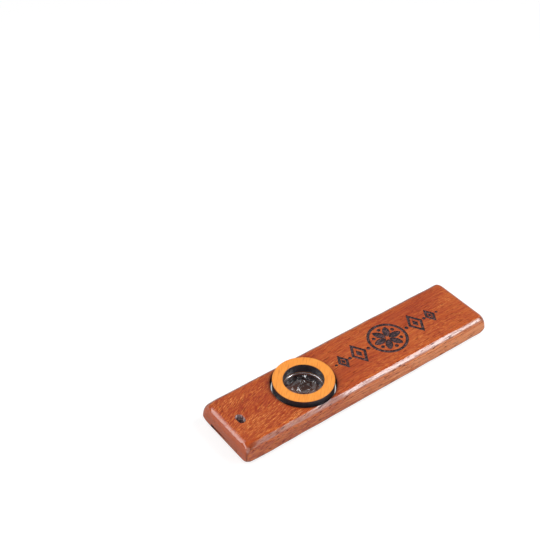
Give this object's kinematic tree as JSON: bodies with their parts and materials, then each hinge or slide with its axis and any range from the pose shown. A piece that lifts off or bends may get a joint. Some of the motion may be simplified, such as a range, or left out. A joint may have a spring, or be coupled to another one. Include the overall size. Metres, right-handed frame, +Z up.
{
  "type": "kazoo",
  "caption": "Flat wooden kazoo: two glued boards with a routed air way, a plated seat washer, a thin film and a lift-off wooden cap ring.",
  "frame": {"origin": "middle of the flat underside of the body", "axes": "+X along the body from the mouth end to the far end, +Z up through the cap ring, +Y across the body"},
  "size_m": [0.125, 0.03, 0.0123],
  "materials": {
    "body_wood": "reddish-brown open-pored hardwood under glossy lacquer",
    "plated_steel": "nickel-plated steel, polished",
    "clear_film": "clear thin plastic film, lightly crinkled",
    "cap_wood": "light orange plain wood, its cut sides burnt black",
    "magnet_plating": "nickel plating"
  },
  "bodies": {
    "body": {"upper_board": "body_wood", "lower_board": "body_wood", "seat_washer": "plated_steel", "membrane": "clear_film"},
    "cap": {"cap_ring": "cap_wood", "cap_magnets": "magnet_plating"}
  },
  "joints": [
    {"name": "cap_lift", "type": "slide", "parent": "body", "child": "cap", "axis": [0, 0, 1], "range_m": [0, 0.009]}
  ]
}
